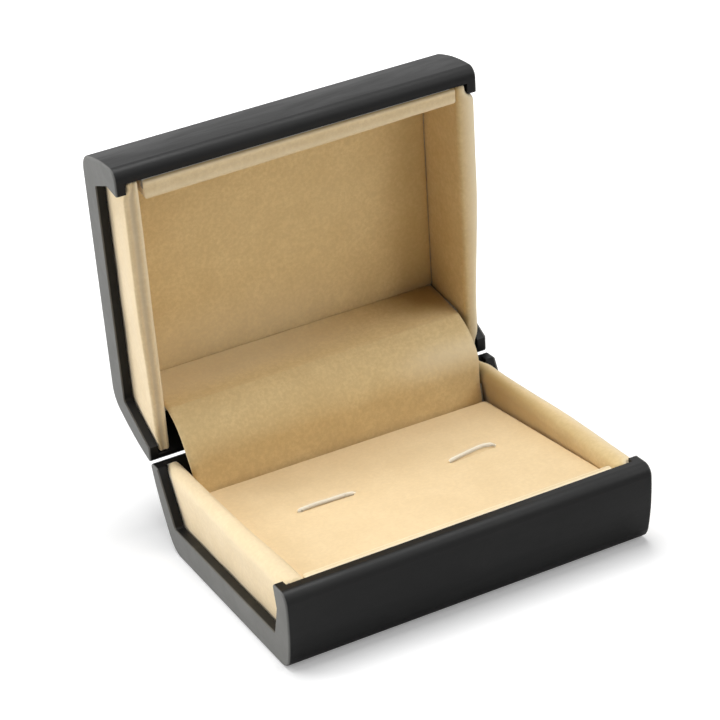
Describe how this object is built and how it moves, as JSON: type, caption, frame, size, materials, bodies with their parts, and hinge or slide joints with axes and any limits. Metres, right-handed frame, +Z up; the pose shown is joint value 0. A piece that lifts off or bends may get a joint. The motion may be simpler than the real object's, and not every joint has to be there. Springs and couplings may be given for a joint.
{
  "type": "cufflink display box",
  "caption": "Hinged clamshell cufflink box standing open, with bowed walls, velvet lining and a slotted display pad.",
  "frame": {"origin": "middle of the flat underside of the base", "axes": "+X along the hinge, towards the box's right seen from the front; -Y towards the front lip; +Z up, out of the underside"},
  "size_m": [0.08, 0.0873, 0.0884],
  "materials": {
    "shell": "fine grained, matte black",
    "card": "grey paperboard",
    "velvet": "short beige velvet flock",
    "foam": "fine white foam",
    "hinge_steel": "nickel plated",
    "pin_steel": "bright drawn",
    "spring_steel": "blued spring strip",
    "screw_steel": "nickel plated"
  },
  "bodies": {
    "base": {"base_shell": "shell", "base_left_panel_card": "card", "base_left_panel_velvet": "velvet", "base_right_panel_card": "card", "base_right_panel_velvet": "velvet", "base_front_panel_card": "card", "base_front_panel_velvet": "velvet", "base_rear_card": "card", "hinge_cover": "velvet", "pad_foam": "foam", "pad_velvet": "velvet", "pad_card": "card", "pad_riser": "card", "left_hinge_base_leaf": "hinge_steel", "left_hinge_pin": "pin_steel", "left_hinge_spring": "spring_steel", "right_hinge_base_leaf": "hinge_steel", "right_hinge_pin": "pin_steel", "right_hinge_spring": "spring_steel", "base_hinge_screws": "screw_steel"},
    "lid": {"lid_shell": "shell", "lid_left_panel_card": "card", "lid_left_panel_velvet": "velvet", "lid_right_panel_card": "card", "lid_right_panel_velvet": "velvet", "lid_front_panel_card": "card", "lid_front_panel_velvet": "velvet", "lid_rear_card": "card", "lid_ceiling_card": "card", "lid_ceiling_velvet": "velvet", "left_hinge_lid_leaf": "hinge_steel", "right_hinge_lid_leaf": "hinge_steel", "lid_hinge_screws": "screw_steel"}
  },
  "joints": [
    {"name": "lid_hinge", "type": "hinge", "parent": "base", "child": "lid", "pos_m": [0, 0.035, 0.01915], "axis": [1, 0, 0], "range_deg": [0, 79], "deforming": ["hinge_cover", "left_hinge_spring", "right_hinge_spring"]}
  ]
}
